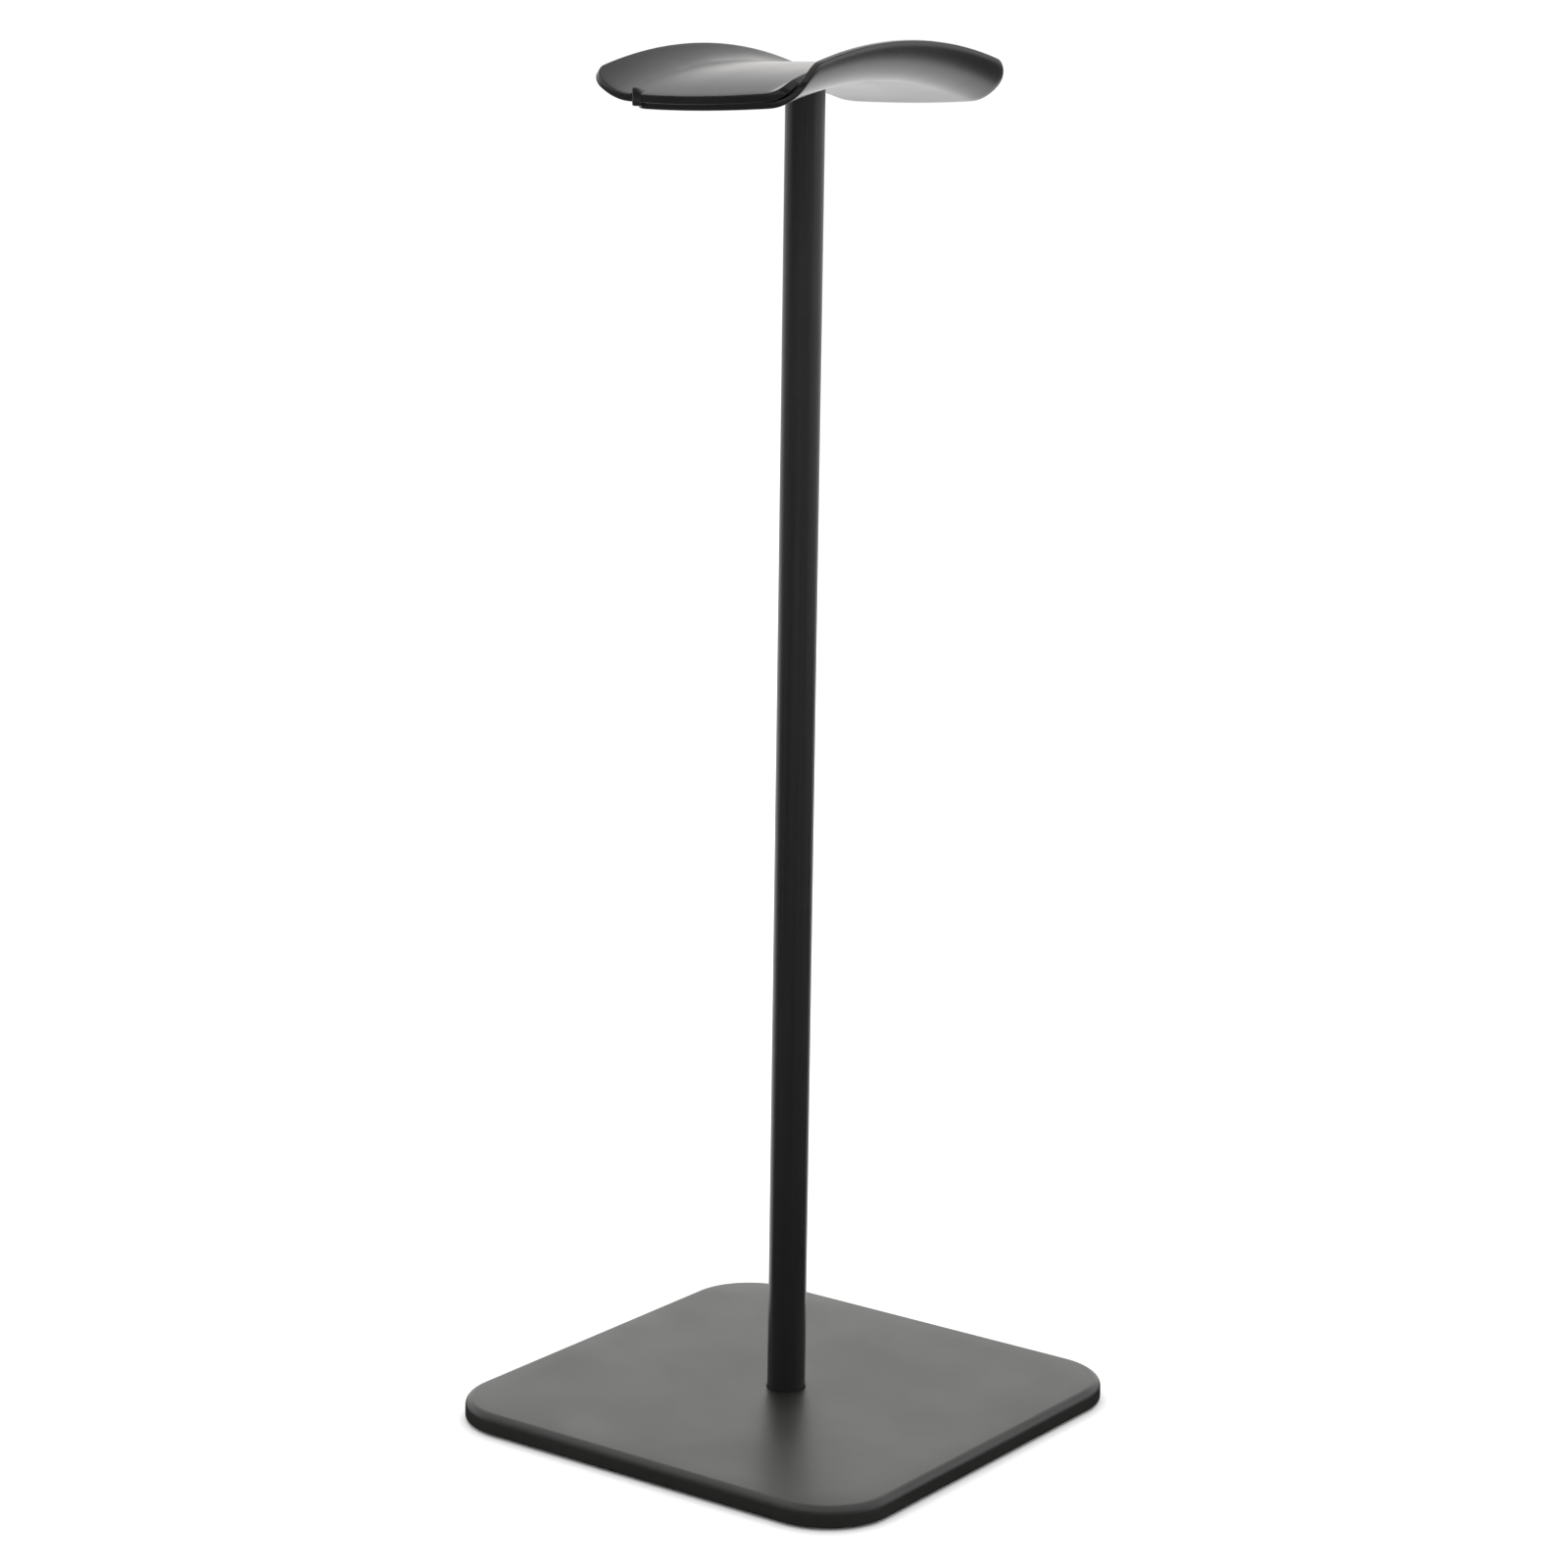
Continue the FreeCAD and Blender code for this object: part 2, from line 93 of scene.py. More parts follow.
class Nodes:
    """A short way to write a material's node tree."""

    def __init__(self, name):
        self.material = bpy.data.materials.new(name)
        self.material.use_nodes = True
        self.tree = self.material.node_tree
        self.shader = self.tree.nodes["Principled BSDF"]
        self.position = self.add("ShaderNodeTexCoord").outputs["Object"]

    def add(self, kind, **settings):
        node = self.tree.nodes.new(kind)
        for key, value in settings.items():
            setattr(node, key, value)
        return node

    def link(self, source, target):
        self.tree.links.new(source, target)

    def scaled(self, x, y, z):
        """The object position, stretched along each axis."""
        mapping = self.add("ShaderNodeMapping")
        mapping.inputs["Scale"].default_value = (x, y, z)
        self.link(self.position, mapping.inputs["Vector"])
        return mapping.outputs["Vector"]

    def noise(self, scale, detail=2.0, roughness=0.5, vector=None):
        node = self.add("ShaderNodeTexNoise")
        node.inputs["Scale"].default_value = scale
        node.inputs["Detail"].default_value = detail
        node.inputs["Roughness"].default_value = roughness
        self.link(vector or self.position, node.inputs["Vector"])
        return node.outputs["Fac"]

    def between(self, value, low, high, from_low=0.3, from_high=0.7):
        """A value remapped to a range."""
        node = self.add("ShaderNodeMapRange")
        node.inputs["From Min"].default_value = from_low
        node.inputs["From Max"].default_value = from_high
        node.inputs["To Min"].default_value = low
        node.inputs["To Max"].default_value = high
        self.link(value, node.inputs["Value"])
        return node.outputs["Result"]

    def colour(self, value, dark, light):
        """A value turned into a colour between two colours."""
        node = self.add("ShaderNodeMix", data_type="RGBA")
        node.inputs[6].default_value = (*dark, 1.0)
        node.inputs[7].default_value = (*light, 1.0)
        self.link(value, node.inputs[0])
        self.link(node.outputs[2], self.shader.inputs["Base Color"])

    def bump(self, heights):
        """Bumps from pairs of a height value and its depth in metres."""
        previous = None
        for height, depth in heights:
            node = self.add("ShaderNodeBump")
            node.inputs["Strength"].default_value = 1.0
            node.inputs["Distance"].default_value = depth
            self.link(height, node.inputs["Height"])
            if previous:
                self.link(previous, node.inputs["Normal"])
            previous = node.outputs["Normal"]
        self.link(previous, self.shader.inputs["Normal"])

    def edge_wear(self, low, high):
        """A mask that is 1 on worn convex edges."""
        geometry = self.add("ShaderNodeNewGeometry")
        return self.between(geometry.outputs["Pointiness"], 0.0, 1.0, low, high)

    def set(self, **values):
        for key, value in values.items():
            self.shader.inputs[key.replace("_", " ")].default_value = value


def base_moulding():
    """Black ABS with a fine eroded grain, faint waves and a slow change in its gloss."""
    n = Nodes("base_moulding")
    cloud = n.noise(35.0, 3.0)
    n.colour(n.between(cloud, 0.0, 1.0), (0.011, 0.011, 0.0095), (0.015, 0.015, 0.0135))
    grain = n.noise(5200.0, 2.0, 0.6)
    n.link(n.between(n.noise(60.0, 4.0), 0.4, 0.45), n.shader.inputs["Roughness"])
    n.bump([(grain, 0.0000035), (n.noise(260.0, 3.0), 0.000004)])
    n.set(Metallic=0.0, IOR=1.7)
    return n.material


def panel_moulding():
    """Matt black ABS of the bottom panel."""
    n = Nodes("panel_moulding")
    n.colour(n.between(n.noise(40.0, 3.0), 0.0, 1.0), (0.016, 0.016, 0.016), (0.024, 0.024, 0.024))
    n.link(n.between(n.noise(90.0, 3.0), 0.5, 0.6), n.shader.inputs["Roughness"])
    n.bump([(n.noise(3000.0, 2.0, 0.6), 0.000008)])
    return n.material


def zinc_steel():
    """Zinc-plated steel sheet with a soft spangle."""
    n = Nodes("zinc_steel")
    cells = n.add("ShaderNodeTexVoronoi")
    cells.inputs["Scale"].default_value = 220.0
    n.link(n.position, cells.inputs["Vector"])
    n.colour(n.between(cells.outputs["Distance"], 0.0, 1.0, 0.1, 0.7), (0.5, 0.51, 0.53), (0.62, 0.63, 0.65))
    n.link(n.between(n.noise(120.0), 0.3, 0.42), n.shader.inputs["Roughness"])
    n.bump([(n.noise(900.0), 0.000006)])
    n.set(Metallic=1.0)
    return n.material


def screw_steel():
    """Blackened steel of the screws and the stud, with wear on the drive's edges."""
    n = Nodes("screw_steel")
    n.colour(n.edge_wear(0.52, 0.6), (0.035, 0.035, 0.037), (0.3, 0.3, 0.3))
    n.link(n.between(n.noise(700.0, 3.0), 0.28, 0.42), n.shader.inputs["Roughness"])
    n.bump([(n.noise(2500.0), 0.000004)])
    n.set(Metallic=1.0)
    return n.material


def pole_finish():
    """Satin black anodised aluminium: long draw lines along the tube and a fine etched grain."""
    n = Nodes("pole_finish")
    lines = n.noise(1.0, 3.0, 0.55, n.scaled(1500.0, 1500.0, 9.0))
    n.colour(n.between(lines, 0.0, 1.0), (0.0085, 0.0085, 0.0088), (0.014, 0.014, 0.0145))
    n.link(n.between(n.noise(45.0, 3.0), 0.3, 0.38), n.shader.inputs["Roughness"])
    n.bump([(lines, 0.0000018), (n.noise(6000.0, 2.0), 0.0000015)])
    n.set(Metallic=0.0, IOR=1.5)
    return n.material


def plug_brass():
    """Turned brass of the threaded plugs, with fine turning rings."""
    n = Nodes("plug_brass")
    rings = n.noise(1.0, 2.0, 0.5, n.scaled(60.0, 60.0, 5000.0))
    n.colour(n.between(rings, 0.0, 1.0), (0.62, 0.45, 0.18), (0.75, 0.57, 0.27))
    n.set(Metallic=1.0, Roughness=0.3)
    n.bump([(rings, 0.000006)])
    return n.material


def soft_headrest():
    """Black thermoplastic elastomer: satin, with a very fine moulded grain and slight waves."""
    n = Nodes("soft_headrest")
    n.colour(n.between(n.noise(55.0, 3.0), 0.0, 1.0), (0.010, 0.010, 0.0102), (0.014, 0.014, 0.0138))
    n.link(n.between(n.noise(70.0, 3.0), 0.22, 0.26), n.shader.inputs["Roughness"])
    n.bump([(n.noise(5200.0, 2.0, 0.6), 0.0000012), (n.noise(160.0, 2.0), 0.000008)])
    n.set(IOR=1.46)
    return n.material


def foot_rubber():
    """Matt black rubber with a dry, dusty grain."""
    n = Nodes("foot_rubber")
    n.colour(n.between(n.noise(300.0, 4.0), 0.0, 1.0), (0.016, 0.016, 0.016), (0.032, 0.032, 0.031))
    n.set(Roughness=0.8)
    n.bump([(n.noise(4000.0, 3.0, 0.7), 0.00002)])
    return n.material


def adhesive_film():
    """The pale film of the foot tapes and the bond pad."""
    n = Nodes("adhesive_film")
    n.colour(n.between(n.noise(500.0, 2.0), 0.0, 1.0), (0.66, 0.62, 0.5), (0.76, 0.73, 0.64))
    n.set(Roughness=0.45)
    n.bump([(n.noise(1500.0), 0.000008)])
    return n.material


def floor_paper():
    """Plain pale studio paper."""
    n = Nodes("floor_paper")
    n.colour(n.between(n.noise(8.0, 2.0), 0.0, 1.0), (0.965, 0.965, 0.965), (0.98, 0.98, 0.98))
    n.set(Roughness=0.9)
    return n.material


MATERIALS = {
    "base_moulding": base_moulding(),
    "panel_moulding": panel_moulding(),
    "zinc_steel": zinc_steel(),
    "screw_steel": screw_steel(),
    "pole_finish": pole_finish(),
    "plug_brass": plug_brass(),
    "soft_headrest": soft_headrest(),
    "foot_rubber": foot_rubber(),
    "adhesive_film": adhesive_film(),
}


def dress_cad_nodes():
    """Give every CAD node the procedural material of its slot."""
    for part in frame["record"]["subparts"]:
        mesh = NODES[part["node"]].data
        mesh.materials.clear()
        mesh.materials.append(MATERIALS[part["material_slot"]])


# ---------------------------------------------------------------- mesh helpers

def solid(name, vertices, faces):
    """An object with a closed mesh, from vertices in millimetres."""
    mesh = bpy.data.meshes.new(name)
    mesh.from_pydata([tuple(c * MM for c in v) for v in vertices], [], faces)
    work = bmesh.new()
    work.from_mesh(mesh)
    bmesh.ops.recalc_face_normals(work, faces=work.faces)
    work.to_mesh(mesh)
    work.free()
    body = bpy.data.objects.new(name, mesh)
    bpy.context.scene.collection.objects.link(body)
    return body


def dress(piece, slot):
    """Smooth shading and a slot's material."""
    mesh = piece.data
    mesh.polygons.foreach_set("use_smooth", [True] * len(mesh.polygons))
    mesh.materials.clear()
    mesh.materials.append(MATERIALS[slot])


def new_piece(name, vertices, faces, slot, replaced):
    """A smooth piece that stands for a CAD node and rides with the stand."""
    piece = solid(name, vertices, faces)
    dress(piece, slot)
    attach(piece, "root")
    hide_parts(replaced)
    return piece


def loft(loops, closed=False):
    """Vertices and faces of loops of equal length joined in turn."""
    count = len(loops[0])
    vertices = [point for loop in loops for point in loop]
    faces = []
    for i in range(len(loops) - (0 if closed else 1)):
        a = i * count
        b = (i + 1) % len(loops) * count
        for j in range(count):
            k = (j + 1) % count
            faces.append((a + j, a + k, b + k, b + j))
    return vertices, faces


def arc(centre_x, centre_y, radius, start_deg, end_deg, steps):
    """Points of a circular arc, from start to end."""
    points = []
    for i in range(steps + 1):
        angle = math.radians(start_deg + (end_deg - start_deg) * i / steps)
        points.append((centre_x + radius * math.cos(angle), centre_y + radius * math.sin(angle)))
    return points


def circle(radius, z, steps):
    """Points of a level circle about the pole's axis."""
    angles = [2 * math.pi * i / steps for i in range(steps)]
    return [(radius * math.cos(a), radius * math.sin(a), z) for a in angles]


# ---------------------------------------------------------------- base cover

SIDE_STEPS = 18
CORNER_STEPS = 22
HOLE_EDGE_DEPTH = 0.12
HOLE_EDGE_STEP = 0.03
HOLE_EDGE_SPREAD = 1.01
TOP_START_SPREAD = 1.06
TOP_RINGS = 14
TOP_RING_POWER = 1.5
TOP_EDGE_STEPS = 12
WALL_HEIGHTS = (1.2, 0.6, 0.15)
LOWER_EDGE_STEPS = 5
RIM_CHAMFER = 0.1
CEILING_CHAMFER = 0.3
CEILING_SHARES = (0.75, 0.5, 0.25, 0.08)


def rounded_square(half, corner_r):
    """Points of a rounded square, anticlockwise from the middle of its +X side, denser in the corners."""
    reach = half - corner_r
    points = []
    for quarter in range(4):
        turn = Matrix.Rotation(math.radians(90 * quarter), 2)
        side = [(half, reach * i / SIDE_STEPS) for i in range(SIDE_STEPS)]
        corner = arc(reach, reach, corner_r, 0, 90, CORNER_STEPS)[:-1]
        top = [(reach * (1 - i / SIDE_STEPS), half) for i in range(SIDE_STEPS)]
        points += [turn @ Vector(p) for p in side + corner + top]
    return points


def make_base_cover():
    """The moulded cover as one closed shell.

    Its loops run from the pole's hole over the top skin and the soft edge, down the wall and back inside.
    """
    low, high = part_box("base_cover")
    bottom, top, half = low.z / MM, high.z / MM, high.x / MM
    skin = top - COVER_SKIN
    hole_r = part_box("pole_tube")[1].x / MM + POLE_HOLE_GAP
    rays = [p.normalized() for p in rounded_square(half, CORNER_R)]
    hole = [ray * hole_r for ray in rays]

    def square(inset_by):
        return rounded_square(half - inset_by, CORNER_R - inset_by)

    def level(points, z):
        return [(*p, z) for p in points]

    def blend(inner_points, outer_points, share, z):
        return [(*(a + (b - a) * share), z) for a, b in zip(inner_points, outer_points)]

    loops = [level(hole, skin), level(hole, top - HOLE_EDGE_DEPTH)]
    loops.append(level([ray * (hole_r * HOLE_EDGE_SPREAD) for ray in rays], top - HOLE_EDGE_STEP))
    top_start = [p * TOP_START_SPREAD for p in hole]
    top_end = square(TOP_EDGE_R)
    shares = [(i / TOP_RINGS) ** TOP_RING_POWER for i in range(TOP_RINGS + 1)]
    loops += [blend(top_start, top_end, share, top) for share in shares]
    profile = arc(TOP_EDGE_R, top - TOP_EDGE_R, TOP_EDGE_R, 90, 180, TOP_EDGE_STEPS)[1:]
    profile += [(0, bottom + LOWER_EDGE_R + height) for height in WALL_HEIGHTS]
    profile += arc(LOWER_EDGE_R, bottom + LOWER_EDGE_R, LOWER_EDGE_R, 180, 270, LOWER_EDGE_STEPS)
    profile += [(COVER_WALL - RIM_CHAMFER, bottom), (COVER_WALL, bottom + RIM_CHAMFER)]
    profile += [(COVER_WALL, skin - CEILING_CHAMFER), (COVER_WALL + CEILING_CHAMFER, skin)]
    loops += [level(square(inset_by), z) for inset_by, z in profile]
    ceiling_end = square(COVER_WALL + CEILING_CHAMFER)
    loops += [blend(hole, ceiling_end, share, skin) for share in CEILING_SHARES]
    vertices, faces = loft(loops, closed=True)
    return new_piece("base_cover_shell", vertices, faces, "base_moulding", "base_cover")


# ---------------------------------------------------------------- pole

POLE_STEPS = 160
POLE_RINGS = 40
POLE_EASE_R = 0.2
POLE_LOWER_EASE_STEPS = 3
POLE_UPPER_EASE_STEPS = 4
POLE_BARREL_INSET = 1.0


def make_pole():
    """The tube turned about its axis, with eased ends and its bore."""
    low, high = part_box("pole_tube")
    bottom, top, radius = low.z / MM, high.z / MM, high.x / MM
    bore = radius - POLE_WALL
    ease = POLE_EASE_R
    barrel_length = top - bottom - 2 * POLE_BARREL_INSET
    heights = [bottom + POLE_BARREL_INSET + barrel_length * i / POLE_RINGS for i in range(POLE_RINGS + 1)]
    profile = [(bore, bottom + ease), (bore + ease, bottom), (radius - ease, bottom)]
    profile += arc(radius - ease, bottom + ease, ease, -60, 0, POLE_LOWER_EASE_STEPS)
    profile += [(radius, z) for z in heights]
    profile += arc(radius - ease, top - ease, ease, 0, 90, POLE_UPPER_EASE_STEPS)
    profile += [(bore + ease, top), (bore, top - ease)]
    loops = [circle(r, z, POLE_STEPS) for r, z in profile]
    vertices, faces = loft(loops, closed=True)
    return new_piece("pole_tube_satin", vertices, faces, "pole_finish", "pole_tube")


# ---------------------------------------------------------------- headrest leaves

END_STEPS = 26
LONG_STEPS = 44
CORNER_BEZIER_STEPS = 14
CIRCLE_PULL = 0.56
POINT_SPACING = 0.02
FACE_RINGS = 26
FACE_RING_POWER = 0.8
RIM_STEPS = 4
SEAT_STEPS = 96
TAB_EDGE_STEPS = 3
SHARP_EDGE_DEG = 35.0


class Leaf:
    """A flexible leaf: a rounded sheet, bent up along its sides and arched along its length.

    A place on the leaf is u along its length, s along its width as an arc length, and a height over the face
    on the other leaf's side. front and rear are the two long sides: how far the sheet reaches, the radius of
    its bend and the radius of its corners.
    """

    def __init__(self, crown_z, drop, half_length, end_bow, front, rear, low, high, end_flattening):
        self.crown_z = crown_z
        self.arch_r = ARCH_HALF_LENGTH ** 2 / (2 * drop)
        self.half_length = half_length
        self.end_bow = end_bow
        self.sides = {-1: front, 1: rear}
        self.low = low
        self.high = high
        self.end_flattening = end_flattening

    def across(self, s, height):
        """The place across the leaf, and its rise, of a point at arc length s and a height."""
        side = -1 if s < 0 else 1
        radius = self.sides[side]["bend_r"]
        turn = max(0.0, abs(s) - FLAT_HALF_WIDTH) / radius
        y = min(abs(s), FLAT_HALF_WIDTH) + (radius - height) * math.sin(turn)
        return side * y, radius - (radius - height) * math.cos(turn)

    def end(self, s):
        """The leaf's half length at arc length s: its ends bow outwards."""
        y, _ = self.across(s, 0)
        return self.half_length - self.end_bow * (y / OUTLINE_HALF_WIDTH) ** 2

    def place(self, u, s, height):
        """The headrest's point at a place on the leaf."""
        y, rise = self.across(s, height)
        extra = max(0.0, rise - max(height, 0.0))
        rise -= self.end_flattening * extra * (u / ARCH_HALF_LENGTH) ** 2
        reach = self.arch_r + rise
        angle = u / self.arch_r
        x = reach * math.sin(angle)
        return on_headrest(Vector((x, y, self.crown_z - self.arch_r + reach * math.cos(angle))))

    def quarter(self, end_side, long_side):
        """The outline's quarter from the middle of an end, round a corner, to the middle of a long side."""
        side = self.sides[long_side]
        limit = long_side * side["reach"]
        corner_s = long_side * (side["reach"] - side["corner_r"])
        tip_u = end_side * self.end(limit)
        corner_u = tip_u - end_side * side["corner_r"]
        end_run = []
        for i in range(END_STEPS):
            s = corner_s * i / END_STEPS
            end_run.append((end_side * self.end(s), s))
        corner = rounded_corner((end_side * self.end(corner_s), corner_s), (tip_u, limit), (corner_u, limit))
        side_run = [(corner_u * (1 - (i + 1) / LONG_STEPS), limit) for i in range(LONG_STEPS)]
        return end_run + corner + side_run

    def outline(self):
        """The leaf's flat outline as (u, s) points, anticlockwise."""
        rear = self.quarter(1, 1) + self.quarter(-1, 1)[::-1]
        front = self.quarter(-1, -1) + self.quarter(1, -1)[::-1]
        return tidy_loop(rear + front)


def rounded_corner(start, tip, end):
    """A near-circular corner from start to end, inside tip."""
    points = []
    for i in range(CORNER_BEZIER_STEPS + 1):
        t = i / CORNER_BEZIER_STEPS
        weights = ((1 - t) ** 3, 3 * t * (1 - t) ** 2, 3 * t * t * (1 - t), t ** 3)
        point = []
        for a, c, b in zip(start, tip, end):
            knots = (a, a + (c - a) * CIRCLE_PULL, b + (c - b) * CIRCLE_PULL, b)
            point.append(sum(w * k for w, k in zip(weights, knots)))
        points.append(tuple(point))
    return points


def tidy_loop(points):
    """A closed loop without repeated points."""
    kept = []
    for p in points:
        if not kept or math.dist(p, kept[-1]) > POINT_SPACING:
            kept.append(p)
    return kept[:-1] if math.dist(kept[0], kept[-1]) < POINT_SPACING else kept


def inset(loop, distance):
    """A closed loop moved inwards by a small distance."""
    moved = []
    for i, (x, y) in enumerate(loop):
        ax, ay = loop[i - 1]
        bx, by = loop[(i + 1) % len(loop)]
        along = Vector((bx - ax, by - ay)).normalized()
        moved.append((x - along.y * distance, y + along.x * distance))
    return moved


def on_headrest(point):
    """A point leaned, pitched and turned from the base's axes to the headrest's."""
    pivot = Vector((0, 0, HEADREST_PIVOT_Z))
    lean = Matrix.Rotation(math.radians(HEADREST_LEAN_DEG), 3, "X")
    pitch = Matrix.Rotation(math.radians(HEADREST_PITCH_DEG), 3, "Y")
    turn = Matrix.Rotation(math.radians(HEADREST_TURN_DEG), 3, "Z")
    return turn @ pitch @ lean @ (point - pivot) + pivot + Vector(HEADREST_SHIFT)


def leaf_mesh(leaf):
    """Vertices and faces of a leaf: both faces as rings towards the middle, joined round a rounded rim."""
    loop = leaf.outline()
    middle = (leaf.low + leaf.high) / 2
    flat = (leaf.high - leaf.low) / 2 - LEAF_EDGE_R
    inner = inset(loop, LEAF_EDGE_R)
    shares = [(i / FACE_RINGS) ** FACE_RING_POWER for i in range(1, FACE_RINGS)]
    rings = [[(u * share, s * share, leaf.low) for u, s in inner] for share in shares]
    for i in range(2 * RIM_STEPS + 2):
        upper = i > RIM_STEPS
        angle = math.pi * (i - upper) / (2 * RIM_STEPS)
        height = middle + (flat if upper else -flat) - LEAF_EDGE_R * math.cos(angle)
        ring = inset(loop, LEAF_EDGE_R * (1 - math.sin(angle)))
        rings.append([(u, s, height) for u, s in ring])
    rings += [[(u * share, s * share, leaf.high) for u, s in inner] for share in reversed(shares)]
    vertices, faces = loft([[tuple(leaf.place(*p)) for p in ring] for ring in rings])
    count = len(loop)
    for height, start in ((leaf.low, 0), (leaf.high, (len(rings) - 1) * count)):
        vertices.append(tuple(leaf.place(0, 0, height)))
        faces += [(start + j, start + (j + 1) % count, len(vertices) - 1) for j in range(count)]
    return vertices, faces


LOWER_LEAF = Leaf(
    crown_z=265.6, drop=4.98, half_length=41.4, end_bow=6.0,
    front={"reach": 25.04, "bend_r": 7.35, "corner_r": 4.5},
    rear={"reach": 13.8, "bend_r": 7.35, "corner_r": 2.6},
    low=-1.3, high=0.0, end_flattening=0.1,
)
UPPER_LEAF = Leaf(
    crown_z=266.36, drop=5.73, half_length=42.2, end_bow=6.5,
    front={"reach": 20.4, "bend_r": 7.35, "corner_r": 2.5},
    rear={"reach": 25.4, "bend_r": 13.8, "corner_r": 3.3},
    low=0.0, high=1.6, end_flattening=0.02,
)


def prism(name, first_loop, last_loop):
    """A helper solid between two loops, closed at both ends, to be joined to a piece or cut from it."""
    vertices, faces = loft([first_loop, last_loop])
    count = len(first_loop)
    faces += [tuple(range(count)), tuple(range(count, 2 * count))]
    return solid(name, vertices, faces)


def cylinder(name, radius, z_low, z_high):
    """An upright cylinder on the pole's axis."""
    return prism(name, circle(radius, z_low, SEAT_STEPS), circle(radius, z_high, SEAT_STEPS))


def locating_tab(name, end_side, gap, opening):
    """A locating tab at one end, or with a gap and an opening the notch that it stands in."""
    profile = [
        (TAB_FRONT_Y - gap, TAB_ROOT_Z),
        (TAB_REAR_Y + gap, TAB_ROOT_Z),
        (TAB_REAR_Y + gap, TAB_TOP_Z + gap),
        (TAB_FRONT_Y + TAB_CHAMFER - gap, TAB_TOP_Z + gap),
        (TAB_FRONT_Y - gap, TAB_TOP_Z - TAB_CHAMFER),
    ]
    loops = []
    for x in (TAB_OUTER_X - TAB_DEPTH - gap, TAB_OUTER_X + gap + opening):
        loops.append([tuple(on_headrest(Vector((end_side * x, y, z)))) for y, z in profile])
    return prism(name, *loops)


def ease_edges(helper, radius, steps):
    """Round all the edges of a helper solid."""
    work = bmesh.new()
    work.from_mesh(helper.data)
    bmesh.ops.bevel(
        work, geom=work.edges[:], offset=radius * MM, segments=steps, profile=0.5, affect="EDGES")
    work.to_mesh(helper.data)
    work.free()


def combine(piece, helper, operation):
    """Join a helper solid to a piece, or cut it from the piece, and remove the helper."""
    modifier = piece.modifiers.new("combine", "BOOLEAN")
    modifier.operation = operation
    modifier.solver = "EXACT"
    modifier.object = helper
    bpy.context.view_layer.update()
    evaluated = piece.evaluated_get(bpy.context.evaluated_depsgraph_get())
    mesh = bpy.data.meshes.new_from_object(evaluated)
    piece.modifiers.clear()
    piece.data = mesh
    bpy.data.objects.remove(helper)


def finish_edges(piece, slot):
    """Smooth shading with crisp edges where two faces meet at a clear angle, and one material."""
    dress(piece, slot)
    piece.data.set_sharp_from_angle(angle=math.radians(SHARP_EDGE_DEG))


def make_lower_leaf():
    """The lower leaf, with its tabs and the pockets for the pole, the stud's head and the stud's shank."""
    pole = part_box("pole_tube")[1]
    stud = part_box("headrest_stud")[1]
    pole_r, pole_top = pole.x / MM, pole.z / MM
    head_r, head_top = stud.x / MM, stud.z / MM
    head_z = HEADREST_PIVOT_Z - STUD_HEAD_SINK
    seat_low = pole_top - SEAT_CUT_LENGTH
    pockets = [
        ("pole_seat", pole_r + SEAT_GAP, seat_low, pole_top),
        ("head_seat", head_r + SEAT_GAP, head_z, head_z + SEAT_CUT_LENGTH),
        ("shank_hole", SHANK_HOLE_R, seat_low, head_top),
    ]
    leaf = new_piece("lower_leaf_soft", *leaf_mesh(LOWER_LEAF), "soft_headrest", "headrest_lower_leaf")
    for end_side in (-1, 1):
        tab = locating_tab("tab", end_side, 0.0, 0.0)
        ease_edges(tab, TAB_EDGE_R, TAB_EDGE_STEPS)
        combine(leaf, tab, "UNION")
    for pocket in pockets:
        combine(leaf, cylinder(*pocket), "DIFFERENCE")
    finish_edges(leaf, "soft_headrest")
    return leaf


def make_upper_leaf():
    """The upper leaf, with the notches that the tabs stand in and the pocket for the bond pad."""
    pad_low, pad_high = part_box("headrest_bond_pad")
    pad_r = pad_high.x / MM + SEAT_GAP
    leaf = new_piece("upper_leaf_soft", *leaf_mesh(UPPER_LEAF), "soft_headrest", "headrest_upper_leaf")
    for end_side in (-1, 1):
        combine(leaf, locating_tab("notch", end_side, NOTCH_GAP, NOTCH_OPENING), "DIFFERENCE")
    combine(leaf, cylinder("pad_seat", pad_r, pad_low.z / MM, pad_high.z / MM), "DIFFERENCE")
    finish_edges(leaf, "soft_headrest")
    return leaf


# ---------------------------------------------------------------- stage

CAMERA_AZIMUTH_DEG = -53.774
CAMERA_ELEVATION_DEG = 11.868
CAMERA_ROLL_DEG = 0.827
CAMERA_DISTANCE = 768.415
CAMERA_SIDESTEP = -2.1585
CAMERA_AIM_Z = 128.777
CAMERA_LENS = 90.136
CAMERA_CLIP_START = 0.01
SENSOR_WIDTH = 36.0
FLOOR_SIZE = 40.0


def view_axes():
    """The camera's right, up and backward directions before it is rolled."""
    azimuth = math.radians(CAMERA_AZIMUTH_DEG)
    elevation = math.radians(CAMERA_ELEVATION_DEG)
    flat = math.cos(elevation)
    back = Vector((math.sin(azimuth) * flat, -math.cos(azimuth) * flat, math.sin(elevation)))
    right = (-back).cross(Vector((0, 0, 1))).normalized()
    return right, right.cross(-back), back


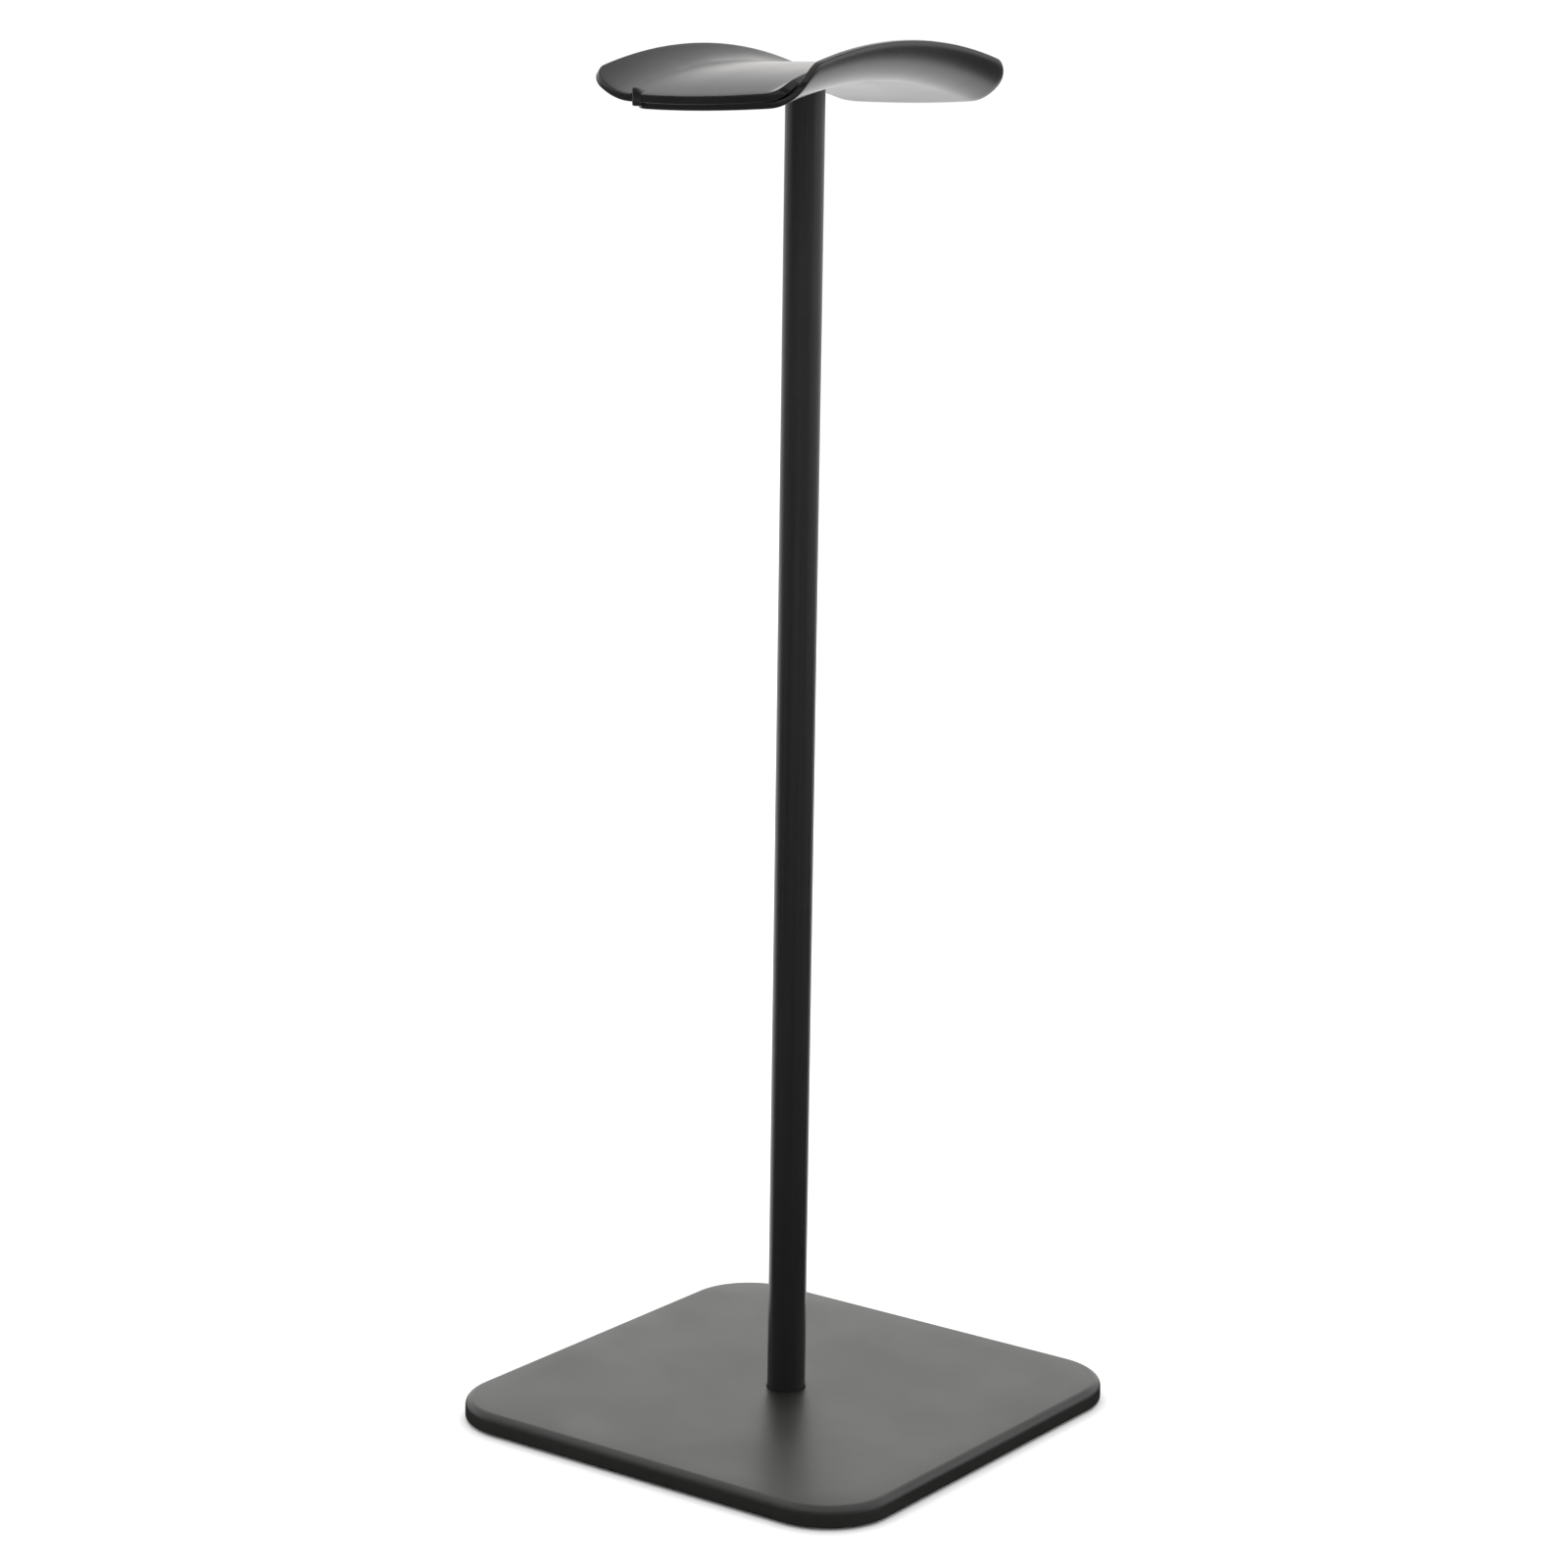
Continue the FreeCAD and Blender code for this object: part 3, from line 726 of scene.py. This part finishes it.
def make_camera():
    """A long-lens camera a little above the base, turned towards the front left corner."""
    right, up, back = view_axes()
    roll = math.radians(CAMERA_ROLL_DEG)
    aim = Vector((0, 0, CAMERA_AIM_Z)) + right * CAMERA_SIDESTEP
    place = (aim + back * CAMERA_DISTANCE) * MM
    rolled_right = math.cos(roll) * right + math.sin(roll) * up
    rolled_up = -math.sin(roll) * right + math.cos(roll) * up
    turn = Matrix((rolled_right, rolled_up, back)).transposed()
    data = bpy.data.cameras.new("camera")
    data.sensor_width = SENSOR_WIDTH
    data.lens = CAMERA_LENS
    data.clip_start = CAMERA_CLIP_START
    camera = bpy.data.objects.new("camera", data)
    camera.matrix_world = Matrix.Translation(place) @ turn.to_4x4()
    bpy.context.scene.collection.objects.link(camera)
    bpy.context.scene.camera = camera


def make_floor():
    """A large plain floor under the feet."""
    bpy.ops.mesh.primitive_plane_add(size=FLOOR_SIZE, location=(0, 0, 0))
    floor = bpy.context.object
    floor.name = "floor"
    floor.data.materials.append(floor_paper())


# The studio round the stand, in metres and watts. Angles are measured from the camera's side.
WALL_RADIUS = 2.2
WALL_LOW = 0.12
WALL_HIGH = 2.6
WALL_DEG = (-85.0, 60.0)
CARD_LEVEL = 0.0002
CARD_START = 0.03
CARD_MIDDLE = 1.3
NEAR_CARD_DEG = (-115.0, 132.0)
FAR_CARD_DEG = (-115.0, -45.0)
ROOF_LEVEL = 1.2
ROOF_RADIUS = 2.6
ROOF_DEG = (-180.0, 180.0)
FLAG_STEPS = 24
BLACK_CLOTH = 0.004
GREY_CLOTH = 0.6
CLOTH_LIGHT_SHARE = 1.1
WORLD_STRENGTH = 1.04
SOFTBOX_SIZE = 1.8
SOFTBOX_PLACE = (0.5, 0.4, 1.5)
SOFTBOX_POWER = 14.0
REAR_BOX_WIDTH = 2.2
REAR_BOX_HEIGHT = 0.8
REAR_BOX_DISTANCE = 2.0
REAR_BOX_LEVEL = 0.42
BASE_BOX_POWER = 5.0
BASE_BOX_TINT = (1.0, 1.0, 0.94)
HEADREST_BOX_POWER = 2.1
HEADREST_BOX_TINT = (1.0, 0.94, 0.88)


def studio_cloth(name, grey):
    """Plain studio cloth of one grey."""
    n = Nodes(name)
    dark = (grey, grey, grey)
    light = tuple(level * CLOTH_LIGHT_SHARE for level in dark)
    n.colour(n.between(n.noise(20.0, 2.0), 0.0, 1.0), dark, light)
    n.set(Roughness=1.0)
    return n.material


def make_flag(name, inner, outer, span_deg, cloth):
    """A curved cloth by the stand, seen only in its gloss. inner and outer are (radius, z)."""
    vertices = []
    for i in range(FLAG_STEPS + 1):
        offset = span_deg[0] + (span_deg[1] - span_deg[0]) * i / FLAG_STEPS
        azimuth = math.radians(CAMERA_AZIMUTH_DEG + offset)
        for radius, z in (inner, outer):
            vertices.append((radius * math.sin(azimuth), -radius * math.cos(azimuth), z))
    faces = [(2 * i, 2 * i + 2, 2 * i + 3, 2 * i + 1) for i in range(FLAG_STEPS)]
    mesh = bpy.data.meshes.new(name)
    mesh.from_pydata(vertices, [], faces)
    mesh.materials.append(cloth)
    flag = bpy.data.objects.new(name, mesh)
    bpy.context.scene.collection.objects.link(flag)
    flag.visible_camera = False
    flag.visible_diffuse = False
    flag.visible_shadow = False


def make_flags():
    """A black wall on the camera's side, black cards on the floor and a grey roof."""
    black = studio_cloth("black_cloth", BLACK_CLOTH)
    grey = studio_cloth("grey_cloth", GREY_CLOTH)
    card_start = (CARD_START, CARD_LEVEL)
    card_middle = (CARD_MIDDLE, CARD_LEVEL)
    card_end = (WALL_RADIUS, CARD_LEVEL)
    make_flag("flag_wall", (WALL_RADIUS, WALL_LOW), (WALL_RADIUS, WALL_HIGH), WALL_DEG, black)
    make_flag("flag_near", card_start, card_middle, NEAR_CARD_DEG, black)
    make_flag("flag_far", card_middle, card_end, FAR_CARD_DEG, black)
    make_flag("roof", (0.0, ROOF_LEVEL), (ROOF_RADIUS, ROOF_LEVEL), ROOF_DEG, grey)


def make_world():
    """A white room of even, soft light, shown without a film curve."""
    world = bpy.data.worlds.new("studio")
    world.use_nodes = True
    background = world.node_tree.nodes["Background"]
    background.inputs["Color"].default_value = (1, 1, 1, 1)
    background.inputs["Strength"].default_value = WORLD_STRENGTH
    bpy.context.scene.world = world
    bpy.context.scene.view_settings.view_transform = "Standard"


def make_softbox():
    """One large softbox overhead, not seen in any gloss."""
    data = bpy.data.lights.new("softbox", "AREA")
    data.size = SOFTBOX_SIZE
    data.energy = SOFTBOX_POWER
    softbox = bpy.data.objects.new("softbox", data)
    softbox.location = SOFTBOX_PLACE
    softbox.rotation_euler = Vector(SOFTBOX_PLACE).to_track_quat("Z", "Y").to_euler()
    softbox.visible_glossy = False
    bpy.context.scene.collection.objects.link(softbox)


def make_rear_box(name, power, tint, lit):
    """A low, wide softbox behind the stand, seen only in the gloss of some pieces."""
    data = bpy.data.lights.new(name, "AREA")
    data.shape = "RECTANGLE"
    data.size = REAR_BOX_WIDTH
    data.size_y = REAR_BOX_HEIGHT
    data.energy = power
    data.color = tint
    azimuth = math.radians(CAMERA_AZIMUTH_DEG)
    outwards = Vector((-math.sin(azimuth), math.cos(azimuth), 0))
    rear_box = bpy.data.objects.new(name, data)
    rear_box.location = outwards * REAR_BOX_DISTANCE + Vector((0, 0, REAR_BOX_LEVEL))
    rear_box.rotation_euler = outwards.to_track_quat("Z", "Y").to_euler()
    rear_box.visible_camera = False
    rear_box.visible_diffuse = False
    receivers = bpy.data.collections.new(name + "_receivers")
    for piece in lit:
        receivers.objects.link(piece)
    rear_box.light_linking.receiver_collection = receivers
    bpy.context.scene.collection.objects.link(rear_box)


dress_cad_nodes()
base_shell = make_base_cover()
make_pole()
leaves = [make_lower_leaf(), make_upper_leaf()]
make_camera()
make_floor()
make_flags()
make_world()
make_softbox()
make_rear_box("rear_box_base", BASE_BOX_POWER, BASE_BOX_TINT, [base_shell])
make_rear_box("rear_box_headrest", HEADREST_BOX_POWER, HEADREST_BOX_TINT, leaves)
